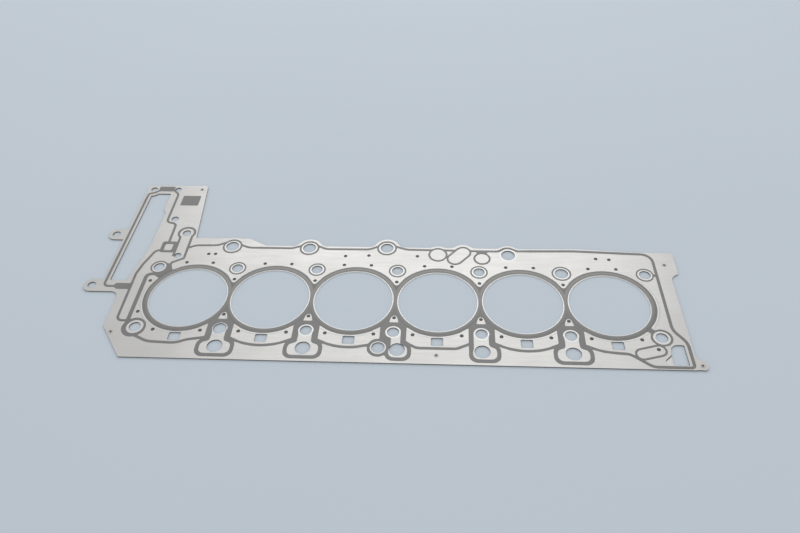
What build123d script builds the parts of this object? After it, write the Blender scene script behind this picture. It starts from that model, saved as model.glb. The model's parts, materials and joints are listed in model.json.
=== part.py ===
"""Multi-layer steel cylinder head gasket for a straight-six engine.

The gasket lies flat: +X runs along the row of cylinders, away from the chain case, +Y points away
from the oil drains and +Z points up, to the cylinder head. The sketches are drawn about the centre
of the first cylinder bore, and the finished solids are moved so that the origin is at the middle
of the footprint, on the face that lies on the engine block.
"""

import os
from math import acos, ceil, cos, dist, radians, sin

from build123d import *

# Driving dimensions, in millimetres ---------------------------------------------------------

# Cylinders
cylinders = 6
carrier_bore_d = 84.8  # 84 mm cylinder with 0.4 mm all round
web_w = 6.2  # carrier steel between two bores
rim_w = 1.0  # bare rim of the carrier inside the head-side sheet

# Layers
carrier_t = 1.1
head_sheet_t = 0.35
track_t = 0.25  # height of the sealing tracks above the head-side sheet

# Head bolts
bolt_row_gap = 2.1  # a bolt row beyond the bores' edge
bolt_hole_d = 12.6
dowel_hole_d = 14.6

# Margins of the main plate
lower_margin = 41.9  # bores' edge to the lower edge
upper_margin = 40.1  # bores' edge to the upper edge
left_margin = 34.0  # first bolts to the left edge
right_margin = 28.0  # last bolts to the right edge
corner_cut_w = 29.0  # slanted cut at the lower left
corner_cut_h = 40.0
upper_left_rise = 11.5  # upper edge beside the chain case, above the rest
crown_rise = 1.8  # upper edge beside the last cylinders, above the rest
tab_w = 9.0
tab_h = 38.0
blend_r = 9.0  # hollow corners of the main outline
corner_r = 5.0

# Chain-case extension
ext_overhang = 23.7  # left of the main plate
ext_bottom_y = 5.3
ext_rise = 109.8  # above the main plate
ext_right_gap = 31.0  # its foot, right of the first bolts
ext_taper = 10.0  # how far its right side leans in
ear_r = 9.3
ear_reach = 10.4
ear_hole_d = 9.4
ear_pitch = 84.1
slot_left_wall = 8.9
slot_right_gap = 20.5  # left of the first bolts
slot_bottom_wall = 17.2
slot_top_wall = 16.3

# Holes for coolant and oil
window_w = 12.6
window_h = 10.6
window_gap = 13.7  # middle of a window beyond the bores' edge
window_r = 1.6
drain_d = 16.2
drain_rise = 16.6  # above the lower edge
small_drain_d = 13.8
port_d = 15.0
free_port_d = 15.8
dot_d = 4.2
lower_dot_gap = 11.5  # small holes beyond the bore's edge, and their angle from the Y axis
lower_dot_angle = 27.9
upper_dot_gap = 12.4
upper_dot_angle = 16.3
web_dot_low_in = 17.5  # small holes of the webs, inside the bores' lower and upper edges
web_dot_high_in = 15.2

# Sealing tracks
web_overlap = 3.7  # how far the track of one bore runs past the middle of the web
track_gap = 0.2  # between the sheet's edge and the track round a bore
line_w = 2.8
scallop_w = 3.1
scallop_gap = 23.0  # middle of the line beyond the bores' edge
wide_line_w = 4.3
bell_w = 4.1
bell_gap = 3.0  # between the lower edge and a bell
bolt_ring_gap = 1.8
bolt_ring_w = 1.7
port_ring_gap = 1.9
port_ring_w = 2.2
port_margin = 3.2  # sheet outside a port's ring

# Rivets
rivet_hole_d = 2.6
rivet_shank_d = 3.8
rivet_head_d = 5.4
rivet_head_t = 0.15

# Facets of what repeats: distance from the true arc, and the shortest facet that is kept
sheet_sag = 0.25
track_sag = 0.3
shortest_facet = 0.8
dot_sides = 6
rivet_sides = 6
rivet_head_sides = 8
hidden_clearance = 0.3  # round the holes of the sheet that lies behind

# Derived places -----------------------------------------------------------------------------

bore_r = carrier_bore_d / 2
bore_pitch = carrier_bore_d + web_w
sheet_bore_r = bore_r + rim_w
bore_track_r = bore_pitch / 2 + web_overlap
bolt_row_y = bore_r + bolt_row_gap
bottom_y = -bore_r - lower_margin
top_y = bore_r + upper_margin
upper_left_top_y = top_y + upper_left_rise
crown_y = top_y + crown_rise
cylinder_xs = [k * bore_pitch for k in range(cylinders)]
web_xs = [(k + 0.5) * bore_pitch for k in range(cylinders - 1)]
last_x = cylinder_xs[-1]
first_bolt_x = -bore_pitch / 2
last_bolt_x = last_x + bore_pitch / 2
left_x = first_bolt_x - left_margin
right_x = last_bolt_x + right_margin
tab_top_y = top_y - 2.5
ext_left_x = left_x - ext_overhang
ext_top_y = top_y + ext_rise
ext_right_foot_x = first_bolt_x + ext_right_gap
ext_right_top_x = ext_right_foot_x - ext_taper
ear_x = ext_left_x - ear_reach
ear_ys = (ext_bottom_y + ear_r, ext_bottom_y + ear_r + ear_pitch)
slot_left_x = ext_left_x + slot_left_wall
slot_right_x = first_bolt_x - slot_right_gap
slot_bottom_y = ext_bottom_y + slot_bottom_wall
slot_top_y = ext_top_y - slot_top_wall
window_y = -bore_r - window_gap
drain_y = bottom_y + drain_rise
web_dot_low_y = -bore_r + web_dot_low_in
web_dot_high_y = bore_r - web_dot_high_in
port_ring_r = port_d / 2 + port_ring_gap + port_ring_w
bell_bottom = bottom_y + bell_gap

# Head bolts: place and hole diameter; two holes are widened for the dowel sleeves
bolts = []
for bolt_x in [first_bolt_x, *web_xs, last_bolt_x]:
    bolts.append((bolt_x, bolt_row_y, dowel_hole_d if bolt_x == web_xs[-1] else bolt_hole_d))
    bolts.append((bolt_x, -bolt_row_y, dowel_hole_d if bolt_x == web_xs[0] else bolt_hole_d))

# Ports of the top edge: holes with a printed ring, one without, and bosses that are closed off
ports = [(cylinder_xs[0] + 31.8, top_y - 2.0), (cylinder_xs[1] + 32.0, top_y - 3.0),
         (cylinder_xs[2] + 31.4, top_y - 1.3)]
free_port = (cylinder_xs[4] - 11.7, top_y - 10.2)
blank_left = (cylinder_xs[3] - 0.5, top_y - 10.8)
blank_left_r = 11.1
blank_right = (cylinder_xs[3] + 49.6, top_y - 16.0)
blank_right_r = 9.8
blank_slant = ((cylinder_xs[3] + 18.9, top_y - 17.3), (cylinder_xs[3] + 28.2, top_y - 6.6))
blank_slant_r = 9.6

# Oil drains below the lower bolts, left to right
drains = [(web_xs[0], drain_y), (web_xs[1], drain_y), (web_xs[2] + 5.1, drain_y + 0.6),
          (web_xs[3] + 0.3, drain_y), (web_xs[4], drain_y)]
small_drain = (web_xs[2] - 14.3, drain_y + 2.5)

# Closed oval at the lower right, with the hole at its end
oval_start = (last_bolt_x - 23.0, bottom_y + 18.3)
oval_end = (last_bolt_x - 5.5, bottom_y + 23.3)
oval_r = 7.7
oval_dot = (last_bolt_x - 6.2, bottom_y + 24.6)

# Holes of the chain case: two at the top, one beside the slot, the keyhole pair and the ears
keyhole = (ext_right_foot_x - 14.1, upper_left_top_y + 8.2)
case_holes = [(slot_left_x + 1.5, ext_top_y - 8.1, 8.4), (slot_right_x + 4.3, ext_top_y - 8.1, 8.4),
              (first_bolt_x - 4.5, ext_top_y - 64.8, 9.0), (*keyhole, 10.0),
              (keyhole[0] - 0.7, keyhole[1] - 38.6, 8.4),
              (ear_x, ear_ys[0], ear_hole_d), (ear_x, ear_ys[1], ear_hole_d)]

# Small holes that are not in a regular row
single_dots = [(cylinder_xs[0] + 6.7, top_y - 15.4), (cylinder_xs[0] + 14.5, top_y - 15.2),
               (cylinder_xs[2] - 15.5, top_y - 15.4), (cylinder_xs[2] + 11.3, top_y - 14.0),
               (cylinder_xs[3] - 24.0, top_y - 13.9), (last_x - 4.5, top_y - 13.7),
               (last_x + 10.0, top_y - 14.7), (first_bolt_x - 3.8, bolt_row_y - 21.7),
               (first_bolt_x - 3.5, -bolt_row_y + 21.2), oval_dot]

rivet_points = [(left_x + 10.3, bottom_y + 32.5), (cylinder_xs[3] - 0.6, bottom_y + 10.9),
                (right_x + 4.3, bottom_y + 5.6), (right_x - 3.6, top_y - 21.7),
                (ext_right_top_x - 6.5, ext_top_y - 7.1)]
ear_rivet = rivet_points[2]
ear_rivet_r = 5.6

fluid_holes = [(x, y, drain_d) for x, y in drains] + [(*small_drain, small_drain_d)]
fluid_holes += [(x, y, port_d) for x, y in ports] + [(*free_port, free_port_d)] + case_holes


# Drawing helpers ----------------------------------------------------------------------------


def at(x, y, shape):
    """A sketch moved to a place on the gasket."""
    return Pos(x, y) * shape


def loop(points, radius):
    """A closed face with rounded corners."""
    return make_face(FilletPolyline(*points, radius=radius, close=True))


def stroke(points, width, radius):
    """A printed line of constant width along straight runs with rounded bends."""
    return trace(FilletPolyline(*points, radius=radius), width)


def ring(outer_r, width):
    """A printed ring."""
    return Circle(outer_r) - Circle(outer_r - width)


def stadium(start, end, radius):
    """A face with two parallel sides and round ends."""
    middle = ((start[0] + end[0]) / 2, (start[1] + end[1]) / 2)
    return SlotCenterPoint(middle, end, 2 * radius)


def round_holes(places):
    """Round holes at their finished size."""
    return [at(x, y, Circle(d / 2)) for x, y, d in places]


def clear_holes(places, sides):
    """Plainer holes that stay just outside the round ones they line up with."""
    return [at(x, y, RegularPolygon(d / 2 + hidden_clearance, sides, major_radius=False))
            for x, y, d in places]


def chords(wire, sag):
    """The corners of a closed wire, with its arcs as short chords that stay within sag of it."""
    runs = []
    for edge in wire.edges():
        count = 1
        if edge.geom_type == GeomType.CIRCLE:
            turn = edge.length / edge.radius
            count = ceil(turn / (2 * acos(1 - min(sag / edge.radius, 0.5))))
            count = max(count, 3 if edge.is_closed else 1)
        places = [edge @ (i / count) for i in range(count + 1)]
        runs.append([(place.X, place.Y) for place in places])
    corners = runs.pop(0)
    while runs:
        tip = corners[-1]
        nearest = min(runs, key=lambda run: min(dist(run[0], tip), dist(run[-1], tip)))
        runs.remove(nearest)
        if dist(nearest[-1], tip) < dist(nearest[0], tip):
            nearest.reverse()
        corners += nearest[1:]
    kept = [corners[0]]
    for corner in corners[1:-1]:
        if dist(corner, kept[-1]) > shortest_facet:
            kept.append(corner)
    return kept


def faceted(sketch, sag):
    """The sketch with straight facets in place of its arcs, which keeps a long print light."""
    faces = []
    for face in sketch.faces():
        outer = Wire.make_polygon(chords(face.outer_wire(), sag), close=True)
        loops = [chords(wire, sag) for wire in face.inner_wires()]
        inner = [Wire.make_polygon(corners, close=True) for corners in loops if len(corners) > 2]
        faces.append(Face(outer, inner))
    return Sketch() + faces


# Sheets -------------------------------------------------------------------------------------


def outline():
    """Outer shape of both sheets."""
    plate = loop([
        (left_x + corner_cut_w, bottom_y),
        (right_x, bottom_y),
        (right_x, tab_top_y - tab_h),
        (right_x + tab_w, tab_top_y - tab_h + 5),
        (right_x + tab_w, tab_top_y),
        (last_bolt_x - 0.5, tab_top_y),
        (last_x - 25, crown_y),
        (cylinder_xs[4] + 10, top_y + 0.5),
        (cylinder_xs[1] - 20, top_y),
        (cylinder_xs[0] + 50, upper_left_top_y),
        (left_x, upper_left_top_y),
        (left_x, bottom_y + corner_cut_h),
    ], 3)
    extension = loop([
        (ext_left_x, ext_bottom_y),
        (ext_right_foot_x - 20, ext_bottom_y),
        (ext_right_top_x - 20, ext_top_y),
        (ext_left_x + 1.5, ext_top_y),
    ], corner_r)
    bosses = [at(x, y, Circle(port_ring_r + port_margin)) for x, y in ports]
    bosses += [
        at(*free_port, Circle(free_port_d / 2 + 7.4)),
        at(*blank_left, Circle(blank_left_r + 2.7)),
        stadium(*blank_slant, blank_slant_r + port_margin),
        at(*ear_rivet, Circle(ear_rivet_r)),
    ]
    softened = offset(offset(plate + extension + bosses, blend_r), -blend_r)
    wing = loop([
        (ext_left_x + 30, upper_left_top_y - 10),
        (ext_right_foot_x + 0.5, upper_left_top_y - 10),
        (ext_right_top_x, ext_top_y),
        (ext_left_x + 30, ext_top_y),
    ], corner_r)
    ears = []
    for y in ear_ys:
        ears.append(at(ear_x, y, Circle(ear_r)))
        ears.append(at((ear_x + ext_left_x) / 2 + 2, y, Rectangle(ear_reach + 4, 2 * ear_r)))
    return softened + wing + ears


def chain_slot():
    """The long opening that the timing chain passes through."""
    return loop([
        (slot_left_x - 1.2, slot_bottom_y),
        (slot_right_x - 10, slot_bottom_y),
        (slot_right_x - 7.5, slot_bottom_y + 18),
        (slot_right_x - 1.2, slot_bottom_y + 48),
        (slot_right_x, slot_bottom_y + 64),
        (slot_right_x + 1.2, slot_top_y - 38),
        (slot_right_x - 3, slot_top_y - 30.5),
        (slot_right_x - 3, slot_top_y),
        (slot_right_x - 19, slot_top_y),
        (slot_right_x - 22.5, slot_top_y - 3.5),
        (slot_left_x + 1, slot_top_y - 4.5),
    ], 1.2)


def corner_window(inset):
    """The opening at the lower right; inset moves its lower left side in."""
    return loop([
        (last_bolt_x - 2.0 + inset, bottom_y + 11.8),
        (last_bolt_x + 5.0, bottom_y + 18.3),
        (last_bolt_x + 6.0, bottom_y + 26.3),
        (last_bolt_x + 11.0, bottom_y + 30.8),
        (right_x - 8.0, bottom_y + 30.8),
        (right_x - 8.0, bottom_y + 5.3),
        (last_bolt_x - 2.0 + inset, bottom_y + 5.3),
    ], 0.8)


def web_dots():
    """The small holes above and below the middle of each web."""
    return [(x, y) for x in web_xs for y in (web_dot_low_y, web_dot_high_y)]


def field_dots(x):
    """The four small holes round one bore."""
    places = []
    for gap, angle, way in ((lower_dot_gap, lower_dot_angle, -1), (upper_dot_gap, upper_dot_angle, 1)):
        reach = bore_r + gap
        for side in (-1, 1):
            places.append((x + side * reach * sin(radians(angle)), way * reach * cos(radians(angle))))
    return places


def rivet_holes():
    """Holes that the rivet shanks fill."""
    return [at(x, y, RegularPolygon(rivet_shank_d / 2, rivet_sides)) for x, y in rivet_points]


def head_side_sheet():
    """The thin sheet, with the small holes that the thick sheet closes from below."""
    holes = [at(x, window_y, RectangleRounded(window_w, window_h, window_r)) for x in cylinder_xs]
    holes += [at(x, 0, Circle(sheet_bore_r)) for x in cylinder_xs]
    dots = single_dots + web_dots()
    for x in cylinder_xs:
        dots += field_dots(x)
    holes += [at(x, y, RegularPolygon(dot_d / 2, dot_sides)) for x, y in dots]
    holes += clear_holes(bolts, 12) + round_holes(fluid_holes) + rivet_holes()
    holes += [chain_slot(), corner_window(0)]
    return faceted(outline() - holes, sheet_sag)


def carrier_sheet():
    """The thick sheet, with round bores and bolt holes; it closes the small holes from below."""
    openings = [at(x, window_y, Rectangle(window_w + 2 * hidden_clearance,
                                          window_h + 2 * hidden_clearance)) for x in cylinder_xs]
    openings += clear_holes(fluid_holes, 8) + rivet_holes()
    openings += [chain_slot(), corner_window(6.5)]
    openings += [at(x, 0, Circle(bore_r)) for x in cylinder_xs]
    return faceted(outline() - openings, sheet_sag) - round_holes(bolts)


# Sealing tracks -----------------------------------------------------------------------------

# Sides of each bell from the web's centre: outer neck, outer body and inner neck
wide_bell = ((13.7, 13.7), (20.0, 20.0), (7.2, 7.2))
paired_bell = ((13.7, 13.7), (7.6, 19.5), (1.6, 8.0))
narrow_bell = ((13.2, 13.7), (13.2, 19.0), (8.2, 7.2))
bells = list(zip(web_xs, [wide_bell, wide_bell, paired_bell, narrow_bell, wide_bell]))
bell_body_h = 24.0
bell_blend_r = 4.0
bell_land_r = 8.2


def bell(web_x, neck, body, bottom, body_top_y, body_r):
    """A bell-shaped face that hangs from the lower bolt of a web."""
    neck_top_y = -bolt_row_y + 13
    neck_h = neck_top_y - bottom - body_r
    neck_face = at(web_x + (neck[1] - neck[0]) / 2, neck_top_y - neck_h / 2,
                   Rectangle(neck[0] + neck[1], neck_h))
    body_face = at(web_x + (body[1] - body[0]) / 2, (body_top_y + bottom) / 2,
                   RectangleRounded(body[0] + body[1], body_top_y - bottom, body_r))
    return offset(offset(neck_face + body_face, bell_blend_r), -bell_blend_r)


def bell_faces():
    """Outer faces of the bell-shaped loops and the bare lands inside them."""
    outer, lands = [], []
    body_top_y = bell_bottom + bell_body_h
    for x, (neck, body, inner_neck) in bells:
        outer.append(bell(x, neck, body, bell_bottom, body_top_y, 9.0))
        inner_body = [side - bell_w for side in body]
        inner = bell(x, inner_neck, inner_body, bell_bottom + bell_w, body_top_y - bell_w, 6.0)
        below_bolt = at(x, (-bolt_row_y + bottom_y) / 2, Rectangle(60, -bolt_row_y - bottom_y))
        lands += [inner & below_bolt, at(x, -bolt_row_y, Circle(bell_land_r))]
    return outer, lands


def bore_tracks():
    """The wide ring round every bore, run together and filled in the webs."""
    tracks = [at(x, 0, Circle(bore_track_r)) for x in cylinder_xs]
    tracks += [at(x, web_dot_low_y - 1, Rectangle(18, 14)) for x in web_xs]
    tracks += [at(x, web_dot_high_y - 7.2, Rectangle(5, 5)) for x in web_xs]
    return tracks


def bare_webs():
    """Small bare lands in the lower half of each web, each round a small hole."""
    lands = []
    for x in web_xs:
        lands.append(loop([(x - 5, web_dot_low_y - 6.4), (x + 5, web_dot_low_y - 6.4),
                           (x + 3, web_dot_low_y + 1), (x - 3, web_dot_low_y + 1)], 0.6))
        lands.append(at(x, web_dot_low_y, Circle(3.2)))
    return lands


def scallop_arc(x):
    """Jacket line below a window, an arc about the bore between two bells."""
    sector = loop([(x, -20), (x - 66, bottom_y - 6), (x + 66, bottom_y - 6)], 1)
    return at(x, 0, ring(bore_r + scallop_gap + scallop_w / 2, scallop_w)) & sector


def lower_jacket_lines():
    """Lines that close the coolant jacket below the windows."""
    lines = [scallop_arc(cylinder_xs[k]) for k in (1, 2, 4)]
    lines.append(scallop_arc(last_x) & at(last_x - 40, -bore_r - 20, Rectangle(86, 50)))
    deep_y = -bore_r - scallop_gap
    x = cylinder_xs[0]
    lines.append(stroke([(first_bolt_x + 1, deep_y + 10.2), (x - 27, deep_y + 1.8),
                         (x + 3, deep_y + 0.5), (x + 15, deep_y + 5.6), (x + 34, deep_y + 8.6)],
                        scallop_w, 25))
    x = cylinder_xs[3]
    lines.append(stroke([(x - 34, deep_y + 10.0), (x - 22, deep_y + 0.8), (x + 20, deep_y + 0.8),
                         (x + 35, deep_y + 8.4)], scallop_w, 14))
    return lines


def right_jacket_line():
    """Line round the lower right corner, up the right end and back along the top."""
    deep_y = -bore_r - scallop_gap
    end_x = last_bolt_x + 12.8
    foot_x = right_x - 3.7
    foot_y = bottom_y + 2.8
    return stroke([(last_x - 3, deep_y - 0.2), (last_x + 10, deep_y - 0.6),
                   (last_bolt_x - 15.5, foot_y), (foot_x, foot_y), (foot_x, bottom_y + 34.3),
                   (end_x, bottom_y + 50.3), (end_x, top_y - 5.6), (last_bolt_x - 30.5, top_y - 3.6),
                   (last_x - 28, crown_y - 3.5), (cylinder_xs[4] + 8, top_y - 2.9)],
                  line_w + 0.4, [14, 14, 3.5, 18, 18, 12, 5, 5])


def top_jacket_lines():
    """Lines between the ports of the top edge, from the free port to the keyhole."""
    line_y = top_y - 3.8
    (x0, _), (x1, _), (x2, _) = ports
    port_x = free_port[0]
    return [
        stroke([(port_x + 7.2, line_y + 2.6), (port_x + 11, line_y + 0.7),
                (port_x + 24, line_y + 0.7)], line_w, 6),
        stroke([(port_x - 7.2, line_y + 2.5), (port_x - 11, line_y - 0.2),
                (cylinder_xs[3] + 27, line_y - 0.2)], line_w, 6),
        stroke([(cylinder_xs[3] + 28, line_y + 0.2), (x2 + 23, line_y + 0.6),
                (x2 + 9, line_y + 6)], line_w, 16),
        stroke([(x2 - 9, line_y + 6), (x2 - 20, line_y), (x1 + 20, line_y - 0.5),
                (x1 + 9, line_y + 5)], line_w, 16),
        stroke([(x1 - 9, line_y + 5), (x1 - 20, line_y), (x0 + 20, line_y),
                (x0 + 9, line_y + 5)], line_w, 16),
        stroke([(x0 - 8, upper_left_top_y - 7), (x0 - 18, upper_left_top_y - 12),
                (ext_right_foot_x + 2.5, upper_left_top_y - 12.8),
                (keyhole[0] + 6.6, upper_left_top_y - 18)], line_w, 10),
    ]


def port_rings():
    """Rings of the ports and of the closed bosses, and the bare lands inside them."""
    inner_r = port_ring_r - port_ring_w
    rings = [at(x, y, Circle(port_ring_r)) for x, y in ports]
    lands = [at(x, y, Circle(inner_r)) for x, y in ports]
    rings += [at(*blank_left, Circle(blank_left_r)), at(*blank_right, Circle(blank_right_r)),
              stadium(*blank_slant, blank_slant_r), stadium(oval_start, oval_end, oval_r)]
    lands += [at(*blank_left, Circle(blank_left_r - port_ring_w)),
              at(*blank_right, Circle(blank_right_r - port_ring_w)),
              stadium(*blank_slant, blank_slant_r - port_ring_w),
              stadium(oval_start, oval_end, oval_r - port_ring_w)]
    # filled wedge above the right-hand boss, and the arc over the port that has no ring below
    rings.append(at(blank_right[0], top_y - 6, Rectangle(12, 5)))
    arc = at(*free_port, ring(free_port_d / 2 + 5.2, line_w - 0.2))
    rings.append(arc & at(free_port[0], free_port[1] + 16.0, Rectangle(40, 20)))
    return rings, lands


def end_rings():
    """Rings of the first and last bolts that join the jacket lines, and their bare lands."""
    ring_r = bolt_hole_d / 2 + bolt_ring_gap + bolt_ring_w
    shapes = [at(first_bolt_x - 1.1, -bolt_row_y - 0.7, Circle(12.9)),
              at(last_bolt_x, -bolt_row_y, Circle(11.1)),
              at(last_bolt_x - 9.1, -bolt_row_y + 9.1, Rot(0, 0, 135) * Rectangle(6, 6)),
              at(last_bolt_x, bolt_row_y, Circle(ring_r)),
              at(last_bolt_x + ring_r + 1, bolt_row_y - 0.5, Rectangle(4, 3.2)),
              at(first_bolt_x, bolt_row_y, Circle(ring_r)),
              loop([(first_bolt_x + 9, bolt_row_y + 6.5), (first_bolt_x + 13, bolt_row_y + 4.5),
                    (first_bolt_x + 18, bolt_row_y - 7.5), (first_bolt_x + 5, bolt_row_y - 17.5),
                    (first_bolt_x - 2, bolt_row_y - 13.5), (first_bolt_x - 2, bolt_row_y - 7.5)],
                   1)]
    lands = [at(first_bolt_x, -bolt_row_y, Circle(9.2)),
             at(last_bolt_x, -bolt_row_y, Circle(8.8)),
             at(last_bolt_x, bolt_row_y, Circle(ring_r - bolt_ring_w)),
             at(first_bolt_x, bolt_row_y, Circle(ring_r - bolt_ring_w))]
    return shapes, lands


def left_lines():
    """Lines between the first bore and the chain slot."""
    inner_x = first_bolt_x - 10.4
    outer_x = first_bolt_x - 22.8
    return [
        stroke([(first_bolt_x + 2, bolt_row_y - 10.5), (inner_x, bolt_row_y - 12),
                (inner_x, -bolt_row_y - 1.5)], wide_line_w, 5),
        stroke([(first_bolt_x - 1.5, top_y - 9), (first_bolt_x - 12, top_y - 11.5),
                (first_bolt_x - 20.3, bolt_row_y + 3.5), (outer_x - 0.7, bolt_row_y - 11.5),
                (outer_x, -bolt_row_y + 8.3), (inner_x, -bolt_row_y + 8.3)], line_w, 6),
    ]


def keyhole_lines():
    """The keyhole-shaped line round two holes, the square beside it and their bare lands."""
    x, y = keyhole
    left_side, right_side = x - 7.4, x + 9.2  # outer sides of the neck
    neck_x = (left_side + right_side) / 2
    neck_w = right_side - left_side
    square_x = x - 15.4
    shapes = [
        at(x, y, Circle(11)),
        at(neck_x, y - 20, Rectangle(neck_w, 40)),
        stroke([(right_side - line_w / 2, y - 30), (right_side - line_w / 2, y - 43),
                (x - 4.5, y - 50), (first_bolt_x + 11.4, bolt_row_y - 8.3)], line_w, 2.5),
        at(square_x, y - 24.3, RectangleRounded(18, 18.2, 3)),
    ]
    lands = [
        at(x, y, Circle(8.3)),
        at(neck_x, y - 21, Rectangle(neck_w - 2 * line_w, 38.2)),
        at(square_x, y - 24.7, RectangleRounded(9.4, 10.8, 2)),
    ]
    return shapes, lands


def chain_case_lines():
    """The line round the chain slot, with a wide bar where it crosses each end."""
    bar_y = ext_top_y - 6.8
    left_run_x = slot_left_x - 3.3
    right_run_x = first_bolt_x - 13.4
    foot_y = ext_bottom_y + 8.1
    return [
        stroke([(slot_left_x + 10.3, bar_y - 2), (slot_left_x + 3.8, slot_top_y + 1.6),
                (left_run_x, slot_top_y), (left_run_x - 2.2, foot_y),
                (slot_left_x + 12.3, foot_y)], line_w, 5),
        stroke([(slot_right_x - 4, bar_y), (right_run_x, slot_top_y - 0.5),
                (right_run_x, ext_top_y - 70.5), (first_bolt_x - 0.6, ext_top_y - 73.5),
                (first_bolt_x - 0.3, top_y + 1.5)], line_w, 6),
        at(slot_right_x - 10.5, bar_y, Rectangle(20, 9)),
        loop([(slot_left_x + 6.3, foot_y - 0.8), (slot_left_x + 10.3, foot_y - 4.2),
              (first_bolt_x - 22.8, foot_y - 4.2), (first_bolt_x - 22.8, foot_y + 4.6),
              (slot_left_x + 8.3, foot_y + 4.6), (slot_left_x + 6.3, foot_y + 2.6)], 0.5),
    ]


def seal_network():
    """The connected print round the bores, bolts, coolant jacket and chain case."""
    bell_outer, bell_lands = bell_faces()
    ring_faces, ring_lands = port_rings()
    end_faces, end_lands = end_rings()
    keyhole_faces, keyhole_lands = keyhole_lines()
    drain_land_r = small_drain_d / 2 + 1.4
    printed = bore_tracks() + bell_outer + lower_jacket_lines() + [right_jacket_line()]
    printed += top_jacket_lines() + ring_faces + end_faces + left_lines() + keyhole_faces
    printed += chain_case_lines() + [at(*small_drain, Circle(drain_land_r + 3.2))]
    bare = bell_lands + ring_lands + end_lands + keyhole_lands + bare_webs()
    bare += [at(*small_drain, Circle(drain_land_r))]
    bare += [at(x, 0, Circle(sheet_bore_r + track_gap)) for x in cylinder_xs]
    return Sketch() + printed - bare


def bolt_hole_rings():
    """Rings that stand alone round the upper bolts, apart from the first and the last."""
    rings = []
    for x, y, d in bolts:
        if y > 0 and first_bolt_x < x < last_bolt_x:
            rings.append(at(x, y, ring(d / 2 + bolt_ring_gap + bolt_ring_w, bolt_ring_w)))
    return Sketch() + rings


def extension_pad():
    """Solid printed rectangle on the chain-case extension."""
    return at(ext_right_top_x - 15.3, ext_top_y - 29.5, RectangleRounded(22.5, 18.5, 1.2))


# Rivets -------------------------------------------------------------------------------------


def layer_rivets():
    """Hollow rivets that hold the two sheets together, each with its head on the thin sheet."""
    stack_t = carrier_t + head_sheet_t
    shank = extrude(RegularPolygon(rivet_shank_d / 2, rivet_sides), stack_t)
    head = Pos(0, 0, stack_t) * extrude(RegularPolygon(rivet_head_d / 2, rivet_head_sides),
                                        rivet_head_t)
    bore = extrude(RegularPolygon(rivet_hole_d / 2, rivet_sides), stack_t + rivet_head_t)
    rivet = shank + head - bore
    return Compound([Pos(x, y) * rivet for x, y in rivet_points])


def main():
    """Write each piece to its own STEP file."""
    os.makedirs("parts", exist_ok=True)
    top_z = carrier_t + head_sheet_t
    footprint = faceted(outline(), sheet_sag).bounding_box()
    home = Pos(-footprint.center().X, -footprint.center().Y, 0)

    parts = {
        "carrier_sheet": extrude(carrier_sheet(), carrier_t),
        "head_side_sheet": Pos(0, 0, carrier_t) * extrude(head_side_sheet(), head_sheet_t),
        "seal_network": Pos(0, 0, top_z) * extrude(faceted(seal_network(), track_sag), track_t),
        "bolt_hole_rings": Pos(0, 0, top_z) * extrude(faceted(bolt_hole_rings(), track_sag), track_t),
        "extension_pad": Pos(0, 0, top_z) * extrude(faceted(extension_pad(), track_sag), track_t),
        "layer_rivets": layer_rivets(),
    }
    for name, solid in parts.items():
        export_step(home * solid, "parts/" + name + ".step")


main()
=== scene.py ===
# %% [markdown]
# # A layered steel head gasket, lying flat
#
# A head gasket seals the joint between an engine block and its cylinder head. This one is made of
# two steel sheets held together by small hollow rivets, with grey rubber tracks printed on the
# face that meets the head. The solids come from CAD, in metres, with the block face on the floor.
# This lesson gives them their finish: rolled steel, printed rubber, rounded edges and clean rivets.

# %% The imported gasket
import json
from math import pi, radians

import bpy
import bmesh
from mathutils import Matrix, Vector

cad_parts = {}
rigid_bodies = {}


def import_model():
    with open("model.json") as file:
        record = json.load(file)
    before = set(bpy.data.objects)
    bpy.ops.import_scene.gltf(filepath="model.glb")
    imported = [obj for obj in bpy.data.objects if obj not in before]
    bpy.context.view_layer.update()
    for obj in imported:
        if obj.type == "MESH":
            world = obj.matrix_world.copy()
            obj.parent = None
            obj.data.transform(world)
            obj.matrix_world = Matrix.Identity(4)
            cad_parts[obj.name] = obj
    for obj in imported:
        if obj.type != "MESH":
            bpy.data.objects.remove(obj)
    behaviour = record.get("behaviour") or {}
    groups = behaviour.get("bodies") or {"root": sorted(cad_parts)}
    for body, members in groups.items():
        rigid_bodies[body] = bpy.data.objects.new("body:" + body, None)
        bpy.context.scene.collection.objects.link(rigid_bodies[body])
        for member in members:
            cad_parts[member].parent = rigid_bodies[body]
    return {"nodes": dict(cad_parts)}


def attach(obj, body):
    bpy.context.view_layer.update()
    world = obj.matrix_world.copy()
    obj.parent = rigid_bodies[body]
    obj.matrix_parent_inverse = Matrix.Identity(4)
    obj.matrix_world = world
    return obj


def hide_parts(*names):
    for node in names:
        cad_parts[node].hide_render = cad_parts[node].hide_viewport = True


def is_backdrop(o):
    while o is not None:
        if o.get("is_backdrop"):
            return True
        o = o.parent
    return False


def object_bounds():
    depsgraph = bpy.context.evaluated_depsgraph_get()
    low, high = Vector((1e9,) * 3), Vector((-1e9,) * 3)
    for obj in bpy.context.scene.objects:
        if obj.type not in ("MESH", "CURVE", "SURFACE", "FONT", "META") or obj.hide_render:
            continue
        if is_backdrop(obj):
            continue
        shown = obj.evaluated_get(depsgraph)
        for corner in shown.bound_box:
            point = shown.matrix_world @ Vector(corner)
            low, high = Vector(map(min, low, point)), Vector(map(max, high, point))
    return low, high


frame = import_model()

cad_low, cad_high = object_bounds()
MM = 0.001
print("nodes:", sorted(frame["nodes"]))
print("CAD box in mm:", [round(v / MM, 2) for v in (*cad_low, *cad_high)])

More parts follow.
